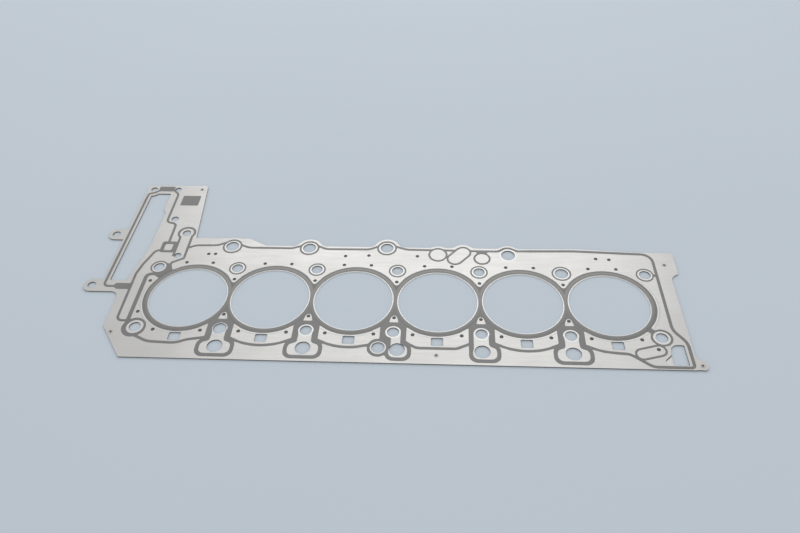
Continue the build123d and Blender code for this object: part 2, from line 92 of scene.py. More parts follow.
# %% [markdown]
# ## Where the bores and bolts are
#
# Several finishes follow the bores and the bolt holes, such as the pressed bead round each bore.
# The patterns need those places, so they are worked out once here from the row's pitch: six bores
# 91 mm apart, bolts on both sides midway between them, and four ports along the far edge.

# %% Places on the gasket
PITCH = 91.0 * MM
FIRST_BORE = (-207.801 * MM, -54.000 * MM)
BOLT_ROW = 44.5 * MM
STACK_TOP = 1.45 * MM
BORES = 6
bores = [(FIRST_BORE[0] + k * PITCH, FIRST_BORE[1]) for k in range(BORES)]


def from_first_bore(x, y):
    """A place given in millimetres from the first bore's centre, in the row's own frame."""
    return (FIRST_BORE[0] + x * MM, FIRST_BORE[1] + y * MM)


ports = [from_first_bore(31.8, 80.5), from_first_bore(123.0, 79.5), from_first_bore(213.4, 81.2),
         from_first_bore(352.3, 72.3)]
corner_ledge = from_first_bore(497.0, -60.0)
ledge_edge = from_first_bore(498.5, -72.5)
print("bores from", [round(v, 4) for v in bores[0]], "to", [round(v, 4) for v in bores[-1]])

# %% [markdown]
# ## Small helpers for shader nodes
#
# A material is a graph of nodes. Writing the graph in code is easier with a few helpers: one adds
# a node with its settings and its socket values, some add the common kinds of node, and one starts
# a material with a Principled shader whose fixed numbers are set on the shader's own sockets.

# %% Node helpers
def feed(tree, socket, value):
    """Link a socket to another one, or set its own value."""
    if isinstance(value, bpy.types.NodeSocket):
        tree.links.new(value, socket)
    else:
        socket.default_value = value


def node(tree, kind, settings=None, **sockets):
    """Add a node with its properties, and set or link its inputs by name or by number (i0, i1)."""
    made = tree.nodes.new(kind)
    for key, value in (settings or {}).items():
        setattr(made, key, value)
    for key, value in sockets.items():
        index = int(key[1:]) if key[0] == "i" and key[1:].isdigit() else key.replace("_", " ")
        feed(tree, made.inputs[index], value)
    return made


def maths(tree, operation, a, b=0.0, c=0.0, clamp=False):
    """One Math node; returns its output socket."""
    made = node(tree, "ShaderNodeMath", {"operation": operation, "use_clamp": clamp}, i0=a, i1=b)
    if operation == "MULTIPLY_ADD":
        feed(tree, made.inputs[2], c)
    return made.outputs[0]


def blend_colours(tree, amount, first, second):
    """Mix two colours by amount; returns the colour socket."""
    made = node(tree, "ShaderNodeMix", {"data_type": "RGBA"}, i0=amount, i6=first, i7=second)
    return made.outputs[2]


def remap(tree, value, low, high, to_low, to_high, smooth=False):
    """Map a value from one range to another, held at its ends."""
    made = node(tree, "ShaderNodeMapRange",
                {"interpolation_type": "SMOOTHSTEP" if smooth else "LINEAR"},
                i0=value, i1=low, i2=high, i3=to_low, i4=to_high)
    return made.outputs[0]


def start_material(name, **sockets):
    """A material with an empty graph but its Principled shader; fixed values go on its sockets."""
    material = bpy.data.materials.new(name)
    material.use_nodes = True
    tree = material.node_tree
    tree.nodes.clear()
    shader = node(tree, "ShaderNodeBsdfPrincipled", **sockets)
    output = node(tree, "ShaderNodeOutputMaterial")
    tree.links.new(shader.outputs[0], output.inputs["Surface"])
    return material, tree, shader


def give_material(name, material):
    """Put a material in every slot of a CAD node."""
    target = frame["nodes"][name]
    if not target.material_slots:
        target.data.materials.append(material)
    for each in target.material_slots:
        each.material = material
    print(name, "has", material.name)


def wall_mask(tree):
    """1 on the cut walls, where the normal is level, and 0 on the flat faces."""
    upright = node(tree, "ShaderNodeSeparateXYZ",
                   Vector=node(tree, "ShaderNodeNewGeometry").outputs["Normal"]).outputs["Z"]
    return remap(tree, maths(tree, "ABSOLUTE", upright), 0.2, 0.6, 1.0, 0.0)


print("helpers are ready")

# %% [markdown]
# ## Rolled grain, a node group
#
# Cold-rolled spring steel carries very fine straight lines along the strip. They barely show as
# colour, but they break up the shine. Stretched noise gives such lines: the coordinates are
# squeezed across the rolling direction. The group is built once, since both sheets use it.

# %% Group: rolled grain
def open_group(name, inputs, outputs):
    """Start a shader node group with named float inputs and outputs."""
    group = bpy.data.node_groups.new(name, "ShaderNodeTree")
    for title, value in inputs:
        made = group.interface.new_socket(title, in_out="INPUT", socket_type="NodeSocketFloat")
        made.default_value = value
    for title in outputs:
        group.interface.new_socket(title, in_out="OUTPUT", socket_type="NodeSocketFloat")
    return group, node(group, "NodeGroupInput"), node(group, "NodeGroupOutput")


def place_group(tree, group, **sockets):
    """Use a node group in a material, with its own values."""
    made = tree.nodes.new("ShaderNodeGroup")
    made.node_tree = group
    for key, value in sockets.items():
        feed(tree, made.inputs[key.replace("_", " ")], value)
    return made


rolled_grain, group_in, group_out = open_group("rolled grain", [("Lines per metre", 900.0)],
                                               ["Grain", "Clouds", "Specks"])
coords = node(rolled_grain, "ShaderNodeTexCoord").outputs["Object"]
squeezed = node(rolled_grain, "ShaderNodeVectorMath", {"operation": "MULTIPLY"},
                i0=coords, i1=(0.03, 1.0, 1.0)).outputs[0]
lines = node(rolled_grain, "ShaderNodeTexNoise", Vector=squeezed, Detail=3.0, Roughness=0.6,
             Scale=group_in.outputs["Lines per metre"])
broad = node(rolled_grain, "ShaderNodeTexNoise", Vector=coords, Scale=14.0, Detail=3.0,
             Roughness=0.55)
fine = node(rolled_grain, "ShaderNodeTexNoise", Vector=coords, Scale=900.0, Detail=1.0)
rolled_grain.links.new(lines.outputs["Fac"], group_out.inputs["Grain"])
rolled_grain.links.new(broad.outputs["Fac"], group_out.inputs["Clouds"])
rolled_grain.links.new(remap(rolled_grain, fine.outputs["Fac"], 0.66, 0.74, 0.0, 1.0),
                       group_out.inputs["Specks"])
GRAIN_BUMP = 0.006  # height of the rolled lines in millimetres
print("group:", rolled_grain.name)

# %% [markdown]
# ## Distance from the nearest bore or bolt, a node group
#
# The sheet is pressed into shallow beads round the bores, and round the bolt holes it gets a
# painted highlight. Each such ring only needs the distance to the nearest centre.
# The bores repeat at one pitch, so the group rounds X to the nearest centre and measures from
# there, in millimetres. It does the same for the bolts, and folds their two rows onto one. The
# ports are irregular, so it goes through them one by one and keeps the smallest distance.

# %% Group: ring distances
ring_distance, group_in, group_out = open_group("ring distances", [], ["Bore", "Bolt", "Port"])
coords = node(ring_distance, "ShaderNodeTexCoord").outputs["Object"]
split = node(ring_distance, "ShaderNodeSeparateXYZ", Vector=coords)
x_in_row = maths(ring_distance, "SUBTRACT", split.outputs["X"], FIRST_BORE[0])
y_in_row = maths(ring_distance, "SUBTRACT", split.outputs["Y"], FIRST_BORE[1])


def nearest(tree, along, across, low, high):
    """Distance in millimetres, with X held between the first and the last centre."""
    held = maths(tree, "MINIMUM", maths(tree, "MAXIMUM", along, low), high)
    step = maths(tree, "ROUND", maths(tree, "DIVIDE", maths(tree, "SUBTRACT", held, low), PITCH))
    centre = maths(tree, "MULTIPLY_ADD", step, PITCH, low)
    gap = maths(tree, "SUBTRACT", along, centre)
    squares = maths(tree, "ADD", maths(tree, "MULTIPLY", gap, gap),
                    maths(tree, "MULTIPLY", across, across))
    return maths(tree, "MULTIPLY", maths(tree, "SQRT", squares), 1 / MM)


last_bore = (BORES - 1) * PITCH
ring_distance.links.new(nearest(ring_distance, x_in_row, y_in_row, 0.0, last_bore),
                        group_out.inputs["Bore"])
bolt_across = maths(ring_distance, "SUBTRACT", maths(ring_distance, "ABSOLUTE", y_in_row),
                    BOLT_ROW)
ring_distance.links.new(nearest(ring_distance, x_in_row, bolt_across, -PITCH / 2,
                                last_bore + PITCH / 2),
                        group_out.inputs["Bolt"])
FAR_AWAY = 1.0  # metres, further than any port
port_gap = FAR_AWAY
for port_x, port_y in ports:
    away = node(ring_distance, "ShaderNodeVectorMath", {"operation": "MULTIPLY"},
                i0=node(ring_distance, "ShaderNodeVectorMath", {"operation": "SUBTRACT"},
                        i0=coords, i1=(port_x, port_y, 0.0)).outputs[0], i1=(1.0, 1.0, 0.0))
    length = node(ring_distance, "ShaderNodeVectorMath", {"operation": "LENGTH"},
                  i0=away.outputs[0]).outputs["Value"]
    port_gap = maths(ring_distance, "MINIMUM", length, port_gap)
ring_distance.links.new(maths(ring_distance, "MULTIPLY", port_gap, 1 / MM),
                        group_out.inputs["Port"])
print("group:", ring_distance.name)

# %% [markdown]
# ## The thin sheet's satin steel
#
# The face sheet is bright stainless steel with a thin clear coat: pale, a touch warm, and satin.
# One flat metal colour would look like paint, so the graph adds soft clouds, rolled grain in the
# roughness and in a very low bump, a few dark specks, and the shallow pressed beads. A faint
# painted highlight brightens the sheet round the bolt holes and the ports, and the cut walls away
# from the bores are painted dark as shade.

# %% Material: face sheet
face_steel, tree, shader = start_material("face sheet steel", IOR=1.45)
grain = place_group(tree, rolled_grain, Lines_per_metre=900.0)
rings = place_group(tree, ring_distance)
wall = wall_mask(tree)
tint = blend_colours(tree, remap(tree, grain.outputs["Clouds"], 0.3, 0.7, 0.0, 1.0),
                     (0.642, 0.637, 0.622, 1), (0.722, 0.717, 0.702, 1))
tint = blend_colours(tree, maths(tree, "MULTIPLY", grain.outputs["Grain"], 0.22), tint,
                     (0.50, 0.495, 0.48, 1))
tint = blend_colours(tree, maths(tree, "MULTIPLY", grain.outputs["Specks"], 0.14), tint,
                     (0.32, 0.31, 0.30, 1))
# painted highlight: a faint bright ring round each bolt hole and port
land_highlight = maths(tree, "MAXIMUM", remap(tree, rings.outputs["Bolt"], 8.0, 8.5, 1.0, 0.0),
              remap(tree, rings.outputs["Port"], 9.3, 10.3, 1.0, 0.0))
tint = blend_colours(tree, maths(tree, "MULTIPLY", land_highlight, 0.6), tint, (0.80, 0.80, 0.79, 1))
by_bore = remap(tree, rings.outputs["Bore"], 43.6, 44.2, 1.0, 0.0)
# painted shade: cut walls away from the bores are dark, walls at a bore keep the steel's colour
wall_shade_tint = blend_colours(tree, by_bore, (0.12, 0.115, 0.11, 1), (0.74, 0.735, 0.72, 1))
tint = blend_colours(tree, maths(tree, "MULTIPLY", wall, 0.85), tint, wall_shade_tint)
tree.links.new(tint, shader.inputs["Base Color"])
tree.links.new(maths(tree, "MULTIPLY_ADD", wall, -0.5, 0.85), shader.inputs["Metallic"])
tree.links.new(remap(tree, grain.outputs["Grain"], 0.25, 0.75, 0.34, 0.46),
               shader.inputs["Roughness"])
bore_bead = maths(tree, "MULTIPLY",
                  remap(tree, rings.outputs["Bore"], 49.0, 50.4, 0.0, 1.0, smooth=True),
                  remap(tree, rings.outputs["Bore"], 50.8, 52.2, 1.0, 0.0, smooth=True))
SHEET_BEAD = 0.08  # height of the pressed bead in millimetres
height = maths(tree, "MULTIPLY_ADD", bore_bead, SHEET_BEAD,
               maths(tree, "MULTIPLY", grain.outputs["Grain"], GRAIN_BUMP))
bump = node(tree, "ShaderNodeBump", Strength=1.0, Distance=MM, Height=height)
tree.links.new(bump.outputs["Normal"], shader.inputs["Normal"])
give_material("head_side_sheet", face_steel)

# %% [markdown]
# ## The thick sheet's steel and its dark coat
#
# The sheet below shows as a bare rim inside every bore and as the whole underside. Its upper face
# carries a dark sealing coat, which is what makes the small holes of the face sheet look black.
# The coat stops short of the bores and of the corner window. Three masks place it: the surface
# points up, the nearest bore is further than the rim, and the place isn't the corner's ledge. A
# strip of it is kept along the ledge's slanting edge as a painted shadow line.
# The punched walls are rougher than the faces, since a punch leaves torn metal there. Away from
# the bores they are painted dark as shade; at a bore they keep the steel's own colour.

# %% Material: carrier sheet
carrier_steel, tree, shader = start_material("carrier sheet steel", IOR=1.45)
grain = place_group(tree, rolled_grain, Lines_per_metre=700.0)
rings = place_group(tree, ring_distance)
tint = blend_colours(tree, remap(tree, grain.outputs["Clouds"], 0.3, 0.7, 0.0, 1.0),
                     (0.66, 0.655, 0.64, 1), (0.76, 0.755, 0.74, 1))
tint = blend_colours(tree, maths(tree, "MULTIPLY", grain.outputs["Grain"], 0.25), tint,
                     (0.5, 0.495, 0.485, 1))
wall = wall_mask(tree)
by_bore = remap(tree, rings.outputs["Bore"], 42.6, 43.6, 1.0, 0.0)
# painted shade: cut walls away from the bores are dark, walls at a bore keep the steel's colour
wall_shade_tint = blend_colours(tree, by_bore, (0.13, 0.125, 0.12, 1), (0.76, 0.755, 0.74, 1))
tint = blend_colours(tree, maths(tree, "MULTIPLY", wall, 0.9), tint, wall_shade_tint)
facing = node(tree, "ShaderNodeSeparateXYZ",
              Vector=node(tree, "ShaderNodeNewGeometry").outputs["Normal"]).outputs["Z"]
place = node(tree, "ShaderNodeSeparateXYZ",
             Vector=node(tree, "ShaderNodeTexCoord").outputs["Object"])
in_corner = maths(tree, "MULTIPLY",
                  maths(tree, "GREATER_THAN", place.outputs["X"], corner_ledge[0]),
                  maths(tree, "LESS_THAN", place.outputs["Y"], corner_ledge[1]))
# along the ledge's slanting edge a strip of the dark coat is kept, as a painted shadow line of the
# face sheet's edge
INTO_LEDGE = (0.68, -0.733, 0.0)  # square to that edge
EDGE_SHADOW_W = 1.2 * MM
from_edge = node(tree, "ShaderNodeVectorMath", {"operation": "DOT_PRODUCT"},
                 i0=node(tree, "ShaderNodeVectorMath", {"operation": "SUBTRACT"},
                         i0=node(tree, "ShaderNodeTexCoord").outputs["Object"],
                         i1=(*ledge_edge, 0.0)).outputs[0],
                 i1=INTO_LEDGE).outputs["Value"]
in_corner = maths(tree, "MULTIPLY", in_corner,
                  maths(tree, "GREATER_THAN", from_edge, EDGE_SHADOW_W))
coat = maths(tree, "MULTIPLY", remap(tree, facing, 0.5, 0.7, 0.0, 1.0),
             maths(tree, "SUBTRACT", remap(tree, rings.outputs["Bore"], 43.5, 43.7, 0.0, 1.0),
                   in_corner, clamp=True))
tint = blend_colours(tree, coat, tint, (0.125, 0.123, 0.12, 1))
tree.links.new(tint, shader.inputs["Base Color"])
tree.links.new(maths(tree, "MULTIPLY_ADD", maths(tree, "MAXIMUM", coat,
                                                 maths(tree, "MULTIPLY", wall, 0.6)), -0.9, 0.9),
               shader.inputs["Metallic"])
tree.links.new(maths(tree, "MULTIPLY_ADD", maths(tree, "MAXIMUM", wall, coat), 0.15,
                     remap(tree, grain.outputs["Grain"], 0.25, 0.75, 0.30, 0.42)),
               shader.inputs["Roughness"])
bump = node(tree, "ShaderNodeBump", Strength=1.0, Distance=MM,
            Height=maths(tree, "MULTIPLY", grain.outputs["Grain"], GRAIN_BUMP))
tree.links.new(bump.outputs["Normal"], shader.inputs["Normal"])
give_material("carrier_sheet", carrier_steel)

# %% [markdown]
# ## The printed rubber
#
# The tracks are elastomer put on through a screen: dark grey with a low satin shine. Screen
# printing leaves a fine pimpled skin and small differences in film thickness, so the colour
# mottles a little and the surface has a low bump. Round a bore the track rides over a pressed
# bead: the bump is given in millimetres, so the light finds the bead's slopes by itself. A painted
# highlight also lightens the bead's crest and a painted shade darkens its outer edge, both
# strongest on the far side of each bore.

# %% Material: printed rubber
track_rubber, tree, shader = start_material("printed track rubber", Metallic=0.0, IOR=1.6,
                                            Specular_IOR_Level=1.0)
rings = place_group(tree, ring_distance)
coords = node(tree, "ShaderNodeTexCoord").outputs["Object"]
mottle = node(tree, "ShaderNodeTexNoise", Vector=coords, Scale=60.0, Detail=3.0, Roughness=0.6)
pimples = node(tree, "ShaderNodeTexNoise", Vector=coords, Scale=2200.0, Detail=1.0)
tint = blend_colours(tree, remap(tree, mottle.outputs["Fac"], 0.3, 0.7, 0.0, 1.0),
                     (0.145, 0.145, 0.144, 1), (0.188, 0.188, 0.186, 1))
crest_highlight_and_bump = maths(tree, "MULTIPLY",
              remap(tree, rings.outputs["Bore"], 43.6, 44.6, 0.3, 1.0, smooth=True),
              remap(tree, rings.outputs["Bore"], 45.8, 48.4, 1.0, 0.0, smooth=True))
# painted light: the crest highlight and the edge shade are strongest on the far side of each bore
# and weakest on its near side
far_side_light = remap(tree, node(tree, "ShaderNodeSeparateXYZ", Vector=coords).outputs["Y"],
                   FIRST_BORE[1] - 20 * MM, FIRST_BORE[1] + 15 * MM, 0.25, 1.0, smooth=True)
on_ring = remap(tree, rings.outputs["Bore"], 49.3, 49.6, 1.0, 0.0)
outer = remap(tree, rings.outputs["Bore"], 46.5, 47.5, 0.0, 1.0)
edges = maths(tree, "MULTIPLY", maths(tree, "MULTIPLY", outer, far_side_light),
              maths(tree, "SUBTRACT", on_ring, crest_highlight_and_bump, clamp=True))
# painted highlight: the bead's crest is lighter and tan, most on the far side of each bore
tint = blend_colours(tree, maths(tree, "MULTIPLY", maths(tree, "MULTIPLY", crest_highlight_and_bump, far_side_light), 0.5),
                     tint, (0.34, 0.33, 0.315, 1))
# painted shade: a dark line along the bead's outer edge, most on the far side of each bore
tint = blend_colours(tree, maths(tree, "MULTIPLY", edges, 0.35), tint, (0.06, 0.059, 0.058, 1))
tree.links.new(tint, shader.inputs["Base Color"])
tree.links.new(remap(tree, mottle.outputs["Fac"], 0.3, 0.7, 0.42, 0.54), shader.inputs["Roughness"])
TRACK_BEAD, PIMPLES = 0.2, 0.012  # heights in millimetres
height = maths(tree, "MULTIPLY_ADD", crest_highlight_and_bump, TRACK_BEAD,
               maths(tree, "MULTIPLY", pimples.outputs["Fac"], PIMPLES))
bump = node(tree, "ShaderNodeBump", Strength=1.0, Distance=MM, Height=height)
tree.links.new(bump.outputs["Normal"], shader.inputs["Normal"])

# %% [markdown]
# ## Smooth copies of the cut shapes
#
# The CAD arcs are drawn as short straight facets, and its small holes as hexagons, to stay light.
# A real press cuts them smooth. A sheet or a print is the same outline all the way through, so
# its outline and holes are read from the CAD node's upper edge, rounded, and given to a flat
# curve that Blender fills and thickens. First, the edge is followed round, loop by loop.

# %% Follow the upper edge of a CAD node
SAME_PLACE = 0.002 * MM


def pick_none():
    """Leave no object selected."""
    for other in bpy.context.view_layer.objects:
        other.select_set(False)


def pick_only(thing):
    """Leave just one object selected and active."""
    pick_none()
    thing.select_set(True)
    bpy.context.view_layer.objects.active = thing


def upper_loops(name):
    """The closed loops round a CAD node's upper faces, with the node's lowest and highest z."""
    shape = bmesh.new()
    shape.from_mesh(frame["nodes"][name].data)
    bmesh.ops.remove_doubles(shape, verts=shape.verts, dist=SAME_PLACE)
    low = min(v.co.z for v in shape.verts)
    high = max(v.co.z for v in shape.verts)
    joined = {}
    for edge in shape.edges:
        flat = all(abs(v.co.z - high) < SAME_PLACE for v in edge.verts)
        if flat and sum(1 for face in edge.link_faces if abs(face.normal.z) < 0.5) == 1:
            for one, two in (edge.verts, reversed(edge.verts)):
                joined.setdefault(one.index, []).append(two.index)
    shape.verts.ensure_lookup_table()
    loops = []
    while joined:
        start = next(iter(joined))
        loop, here = [], start
        while here in joined:
            following = joined[here].pop()
            joined[following].remove(here)
            for done in (here, following):
                if not joined[done]:
                    del joined[done]
            loop.append(shape.verts[here].co.xy.copy())
            here = following
        loops.append(loop)
    shape.free()
    return loops, low, high


print("the seal print has", len(upper_loops("seal_network")[0]), "loops")

# %% [markdown]
# ## Holes at their true size
#
# Where the two sheets share a round hole, the CAD draws the one that lies behind as a plainer
# polygon, a little larger, so that it stays hidden. Here both are taken as punched to one size:
# at each shared centre, the smooth sheets get the smaller circle of the two.

# %% Find the true circle of each shared hole
LARGEST_HOLE = 12.0 * MM  # in radius
ROUND_WITHIN = 0.02 * MM
ONE_CENTRE = 0.1 * MM


def round_hole(loop):
    """The centre and radius of a loop that is a small regular polygon, or nothing."""
    middle = sum(loop, Vector((0, 0))) / len(loop)
    reach = [(point - middle).length for point in loop]
    if len(loop) > 5 and max(reach) < LARGEST_HOLE and max(reach) - min(reach) < ROUND_WITHIN:
        return middle, reach[0]
    return None


sheet_holes = [hole for name in ("head_side_sheet", "carrier_sheet")
               for hole in map(round_hole, upper_loops(name)[0]) if hole]


def at_true_size(loop):
    """A sheet's round hole, shrunk to the smallest circle at its centre; other loops stay."""
    hole = round_hole(loop)
    if not hole:
        return loop
    middle = hole[0]
    smallest = min(radius for centre, radius in sheet_holes
                   if (centre - middle).length < ONE_CENTRE)
    return [middle + (point - middle).normalized() * smallest for point in loop]


print("round holes in both sheets:", len(sheet_holes))

# %% [markdown]
# ## Rounding a loop
#
# Between two corners of one arc, a new point is set a little outside the facet, where a smooth
# curve through the four nearest corners would pass; doing it three times gives a fine arc that
# still runs through the CAD's own points. Short facets that turn the same way at both ends are
# arcs. The bores have longer facets, and are told from straight sides by their even radius. A true
# corner gets a small fillet instead.

# %% Round a loop
ARC_FACET = 9.0 * MM
BORE_FACET = 14.0 * MM
SMALLEST_TURN, LARGEST_TURN = radians(2), radians(62)
BORE_TURN = radians(20)
EVEN_RADIUS = 1.3  # largest ratio of the two radii on an arc of long facets
CORNER_TURN = radians(40)
FILLET_STEPS = 5


def turn_at(loop, k):
    """The signed turn of the loop at its point k, in radians."""
    before, after = loop[k] - loop[k - 1], loop[(k + 1) % len(loop)] - loop[k]
    return before.angle_signed(after, 0.0)


def follow_arcs(loop):
    """Set a new point outside each facet of an arc."""
    count = len(loop)
    turns = [turn_at(loop, k) for k in range(count)]
    finer = []
    for k in range(count):
        here, following = loop[k], loop[(k + 1) % count]
        finer.append(here)
        first, second = turns[k], turns[(k + 1) % count]
        back, ahead = loop[k - 1] - here, loop[(k + 2) % count] - following
        facet = (following - here).length
        small, large = sorted((abs(first), abs(second)))
        if first * second < 0 or small < SMALLEST_TURN or large > LARGEST_TURN:
            continue
        near = (back.length + facet) / abs(first)
        far = (ahead.length + facet) / abs(second)
        even = (facet < BORE_FACET and large < BORE_TURN
                and max(near, far) < EVEN_RADIUS * min(near, far))
        if facet < ARC_FACET or even:
            outer = (here + back.normalized() * min(back.length, facet)
                     + following + ahead.normalized() * min(ahead.length, facet))
            finer.append((here + following) * (9 / 16) - outer / 16)
    return finer


def fillet_corners(loop, radius):
    """Replace each true corner by a small rounded one."""
    count = len(loop)
    finished = []
    for k in range(count):
        here = loop[k]
        if abs(turn_at(loop, k)) < CORNER_TURN:
            finished.append(here)
            continue
        back, ahead = loop[k - 1] - here, loop[(k + 1) % count] - here
        start = here + back.normalized() * min(radius, 0.45 * back.length)
        end = here + ahead.normalized() * min(radius, 0.45 * ahead.length)
        for step in range(FILLET_STEPS + 1):
            t = step / FILLET_STEPS
            finished.append(start * (1 - t) ** 2 + here * (2 * t * (1 - t)) + end * t ** 2)
    return finished


def rounded_loop(loop, radius):
    """Fine arcs and filleted corners."""
    return fillet_corners(follow_arcs(follow_arcs(follow_arcs(loop))), radius)


# %% [markdown]
# ## A filled, thickened curve
#
# A flat curve in Blender fills whatever its loops enclose, leaves the inner ones open, and can be
# given a thickness and a rounded edge. The rounding would also lift the foot of the piece, so
# after the curve is made a mesh, the lower half's points are set back down on the base plane.

# %% Build a piece from its loops
SHADE_ANGLE = radians(35)


def cut_piece(name, title, material, radius, shoulder):
    """A smooth piece with the outline of a CAD node, which then replaces that node."""
    loops, low, high = upper_loops(name)
    if name.endswith("sheet"):
        loops = [at_true_size(loop) for loop in loops]
    outline = bpy.data.curves.new(title, "CURVE")
    outline.dimensions = "2D"
    outline.fill_mode = "BOTH"
    outline.extrude = (high - low) / 2 - shoulder
    outline.bevel_depth = shoulder
    outline.bevel_resolution = 2
    outline.offset = -shoulder
    for loop in loops:
        points = rounded_loop(loop, radius)
        spline = outline.splines.new("POLY")
        spline.points.add(len(points) - 1)
        for point, place in zip(spline.points, points):
            point.co = (min(max(place.x, cad_low[0]), cad_high[0]),
                        min(max(place.y, cad_low[1]), cad_high[1]), 0.0, 1.0)
        spline.use_cyclic_u = True
    piece = bpy.data.objects.new(title, outline)
    bpy.context.scene.collection.objects.link(piece)
    pick_only(piece)
    bpy.ops.object.convert(target="MESH")
    piece = bpy.context.view_layer.objects.active
    for vertex in piece.data.vertices:
        vertex.co.z = low if vertex.co.z < 0 and shoulder else vertex.co.z + (low + high) / 2
    bpy.ops.object.mode_set(mode="EDIT")
    bpy.ops.mesh.select_all(action="SELECT")
    bpy.ops.mesh.remove_doubles(threshold=0.001 * MM)
    bpy.ops.mesh.normals_make_consistent(inside=False)
    bpy.ops.object.mode_set(mode="OBJECT")
    piece.name = title
    piece.data.name = title
    piece.data.materials.clear()
    piece.data.materials.append(material)
    bpy.ops.object.shade_smooth_by_angle(angle=SHADE_ANGLE)
    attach(piece, "root")
    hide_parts(name)
    print(title, "has", len(loops), "loops and", len(piece.data.polygons), "faces")
    return piece


# %% [markdown]
# ## The face sheet
#
# The thin sheet is a blanked part: smooth outline and holes, and crisp edges without a shoulder.

# %% Smooth face sheet
cut_piece("head_side_sheet", "smooth_face_sheet", face_steel,
          radius=1.0 * MM, shoulder=0.0)

# %% [markdown]
# ## The thick sheet
#
# The thick sheet is blanked in the same way. Its bores show as the bright rims from above and its
# whole outline shows from below, so it gets the same smooth edges.

# %% Smooth thick sheet
cut_piece("carrier_sheet", "smooth_carrier_sheet", carrier_steel,
          radius=1.0 * MM, shoulder=0.0)

# %% [markdown]
# ## The prints
#
# A printed track isn't a square-edged strip: surface tension rounds its shoulders before it sets.
# Weighted normals then keep the broad tops flat and let only the shoulders shade as round.

# %% Rounded prints
prints = [
    ("seal_network", "rounded_seal_network", 1.2 * MM, 0.11 * MM),
    ("bolt_hole_rings", "rounded_bolt_rings", 0.8 * MM, 0.11 * MM),
    ("extension_pad", "rounded_extension_pad", 1.2 * MM, 0.10 * MM),
]
for name, title, corner, shoulder in prints:
    give_material(name, track_rubber)
    piece = cut_piece(name, title, track_rubber, corner, shoulder)
    pick_only(piece)
    weighting = piece.modifiers.new("flat tops", "WEIGHTED_NORMAL")
    weighting.keep_sharp = True
    bpy.ops.object.modifier_apply(modifier=weighting.name)
    print(piece.name, "has weighted normals")

# %% [markdown]
# ## Rivet steel
#
# The rivets are small plated steel tubes, a touch warmer and duller than the sheets, and worn
# bright in places. Down in the bore little light returns, so the bore's wall is made darker too.

# %% Material: rivet steel
rivet_steel, tree, shader = start_material("rivet steel", Metallic=0.8, IOR=1.45)
coords = node(tree, "ShaderNodeTexCoord").outputs["Object"]
wear = node(tree, "ShaderNodeTexNoise", Vector=coords, Scale=1500.0, Detail=2.0)
tint = blend_colours(tree, remap(tree, wear.outputs["Fac"], 0.35, 0.65, 0.0, 1.0),
                     (0.50, 0.48, 0.445, 1), (0.66, 0.64, 0.60, 1))
tint = blend_colours(tree, maths(tree, "MULTIPLY", wall_mask(tree), 0.9), tint,
                     (0.07, 0.066, 0.06, 1))
tree.links.new(tint, shader.inputs["Base Color"])
tree.links.new(remap(tree, wear.outputs["Fac"], 0.3, 0.7, 0.3, 0.48), shader.inputs["Roughness"])
give_material("layer_rivets", rivet_steel)

# %% [markdown]
# ## One rivet, modelled by hand
#
# Five hollow rivets hold the sheets in line until the engine is built. Each is a short tube with
# its top rolled outwards. A low cylinder is the shank. Its top face is extruded, widened and
# raised to make the flange, then inset and sunk for the funnel of the rolled lip. The faces at
# both ends of the bore are deleted and their edges bridged, and the flange's rim is bevelled.

# %% Model one rivet
RIVET_SIDES = 36
SHANK_R, BORE_HOLE_R, FLANGE_R, FLANGE_T = 1.62 * MM, 1.2 * MM, 2.7 * MM, 0.15 * MM
LIP_R, LIP_DEPTH = 1.75 * MM, 0.35 * MM  # the funnel of the rolled lip
RIM_ROUND = 0.07 * MM
rivet_places = [from_first_bore(-69.2, -51.8), from_first_bore(272.4, -73.4),
                from_first_bore(532.8, -78.7), from_first_bore(524.9, 60.8),
                from_first_bore(-31.0, 185.2)]


def pick_faces(thing, wanted):
    """In edit mode, select only the faces whose middle and normal pass the test."""
    shape = bmesh.from_edit_mesh(thing.data)
    for face in shape.faces:
        face.select_set(False)
    for face in shape.faces:
        if wanted(face.calc_center_median(), face.normal):
            face.select_set(True)
    shape.select_flush_mode()
    bmesh.update_edit_mesh(thing.data)


rivet_x, rivet_y = rivet_places[0]
pick_none()
bpy.ops.mesh.primitive_cylinder_add(vertices=RIVET_SIDES, radius=SHANK_R, depth=STACK_TOP,
                                    location=(rivet_x, rivet_y, STACK_TOP / 2))
rivet = bpy.context.object
rivet.name = "hollow_rivet_1"
rivet.data.materials.append(rivet_steel)
bpy.ops.object.transform_apply(location=True, rotation=True, scale=True)
bpy.ops.object.mode_set(mode="EDIT")
bpy.ops.mesh.select_mode(type="FACE")
pick_faces(rivet, lambda middle, normal: normal.z > 0.9)
bpy.ops.mesh.extrude_region_move(TRANSFORM_OT_translate={"value": (0, 0, 0)})
bpy.ops.transform.resize(value=(FLANGE_R / SHANK_R, FLANGE_R / SHANK_R, 1),
                         center_override=(rivet_x, rivet_y, STACK_TOP))
bpy.ops.mesh.extrude_region_move(TRANSFORM_OT_translate={"value": (0, 0, FLANGE_T)})
bpy.ops.mesh.inset(thickness=FLANGE_R - LIP_R)
bpy.ops.mesh.inset(thickness=LIP_R - BORE_HOLE_R, depth=-LIP_DEPTH)
bpy.ops.mesh.delete(type="FACE")
pick_faces(rivet, lambda middle, normal: normal.z < -0.9 and middle.z < 0.1 * MM)
bpy.ops.mesh.inset(thickness=SHANK_R - BORE_HOLE_R)
bpy.ops.mesh.delete(type="FACE")
bpy.ops.mesh.select_mode(type="EDGE")
bpy.ops.mesh.select_all(action="DESELECT")
bpy.ops.mesh.select_non_manifold()
bpy.ops.mesh.bridge_edge_loops()
bpy.ops.mesh.select_all(action="SELECT")
bpy.ops.mesh.normals_make_consistent(inside=False)
bpy.ops.object.mode_set(mode="OBJECT")
print(rivet.name, "has", len(rivet.data.polygons), "faces")

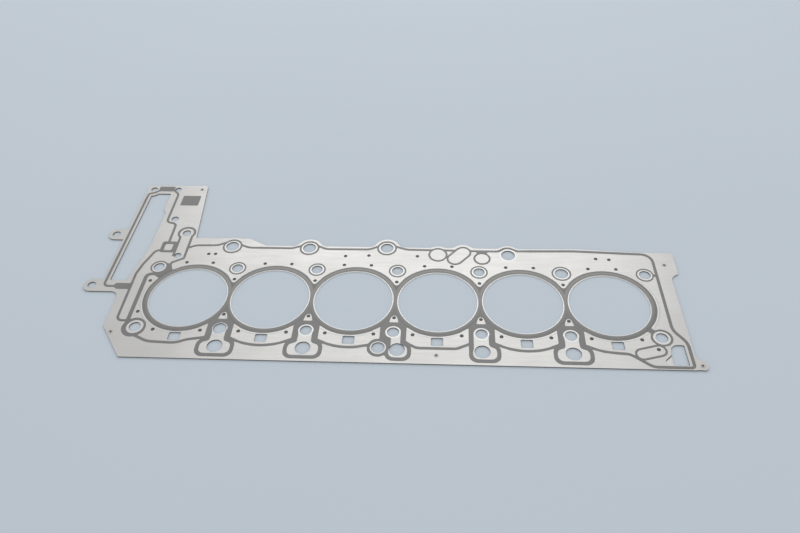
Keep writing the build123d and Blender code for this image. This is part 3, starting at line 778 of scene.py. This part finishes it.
# %% Round the rivet's rim
pick_only(rivet)
bpy.ops.object.mode_set(mode="EDIT")
bpy.ops.mesh.select_mode(type="EDGE")
bpy.ops.mesh.select_all(action="DESELECT")
shape = bmesh.from_edit_mesh(rivet.data)
for edge in shape.edges:
    high = all(v.co.z > STACK_TOP + 0.9 * FLANGE_T for v in edge.verts)
    if high and edge.calc_face_angle(0.0) > radians(20):
        edge.select_set(True)
bmesh.update_edit_mesh(rivet.data)
bpy.ops.mesh.bevel(offset=RIM_ROUND, segments=3, profile=0.5, affect="EDGES", clamp_overlap=True)
bpy.ops.object.mode_set(mode="OBJECT")
bpy.ops.object.shade_smooth_by_angle(angle=SHADE_ANGLE)
print(rivet.name, "has", len(rivet.data.polygons), "faces after the bevel")

# %% [markdown]
# ## The other rivets
#
# The finished rivet is copied to the other four places. Each copy has its own mesh, and its move
# is applied to the mesh, so that every object still stands at the origin.

# %% Copy the rivet
rivets = [rivet]
for number, (x, y) in enumerate(rivet_places[1:], start=2):
    pick_only(rivet)
    bpy.ops.object.duplicate(linked=False)
    other = bpy.context.view_layer.objects.active
    other.name = f"hollow_rivet_{number}"
    other.location = (x - rivet_x, y - rivet_y, 0)
    bpy.ops.object.transform_apply(location=True, rotation=False, scale=False)
    rivets.append(other)
for each in rivets:
    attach(each, "root")
    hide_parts("layer_rivets")
print("rivets:", [each.name for each in rivets])

# %% [markdown]
# ## Floor, light and camera
#
# The gasket lies on a plain pale floor under a soft, even light, with one wide softbox behind it
# so that the satin steel mirrors something bright. The camera stands in front of the long side,
# about 45 degrees up.

# %% Floor
bpy.ops.mesh.primitive_plane_add(size=14.0, location=(0, 0, 0))
floor = bpy.context.object
floor.name = "pale_floor"
floor_paint, tree, shader = start_material("pale floor", Roughness=0.9)
coords = node(tree, "ShaderNodeTexCoord").outputs["Object"]
paper = node(tree, "ShaderNodeTexNoise", Vector=coords, Scale=2.0, Detail=1.0)
tree.links.new(blend_colours(tree, paper.outputs["Fac"], (0.66, 0.74, 0.82, 1),
                             (0.68, 0.76, 0.84, 1)), shader.inputs["Base Color"])
floor.data.materials.append(floor_paint)
floor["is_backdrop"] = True
print("floor is", floor.dimensions[0], "m wide")

# %% World and lamps
world = bpy.data.worlds.new("studio")
bpy.context.scene.world = world
world.use_nodes = True
background = world.node_tree.nodes["Background"]
background.inputs["Color"].default_value = (1.0, 1.0, 1.0, 1)
background.inputs["Strength"].default_value = 0.64


def softbox(name, place, aim, width, height, brightness):
    """An area lamp whose surface has the given brightness, turned towards a point."""
    lamp = bpy.data.lights.new(name, "AREA")
    lamp.shape = "RECTANGLE"
    lamp.size, lamp.size_y = width, height
    lamp.energy = brightness * pi * width * height
    holder = bpy.data.objects.new(name, lamp)
    bpy.context.scene.collection.objects.link(holder)
    holder.location = place
    holder.rotation_euler = (Vector(aim) - Vector(place)).to_track_quat("-Z", "Y").to_euler()
    print(name, "gives", round(lamp.energy, 1), "W")
    return holder


softbox("back softbox", (0.0, 2.0, 1.65), (0, 0, 0), 2.2, 1.9, 1.0)

# %% Camera
camera_data = bpy.data.cameras.new("main camera")
camera_data.sensor_width = 36.0
camera_data.lens = 31.786
camera = bpy.data.objects.new("main camera", camera_data)
bpy.context.scene.collection.objects.link(camera)
camera.location = (0.06466, -0.56597, 0.56479)
camera.rotation_euler = (radians(45.0739), radians(1.48066), radians(2.84306))
bpy.context.scene.camera = camera
bpy.context.scene.view_settings.view_transform = "Standard"

# %% [markdown]
# ## The size of the finished gasket
#
# Dressing must not change the part's size, so the CAD box and the dressed box are both printed.

# %% Sizes
low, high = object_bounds()
print("dressed box in mm:", [round(v / MM, 2) for v in (*low, *high)])
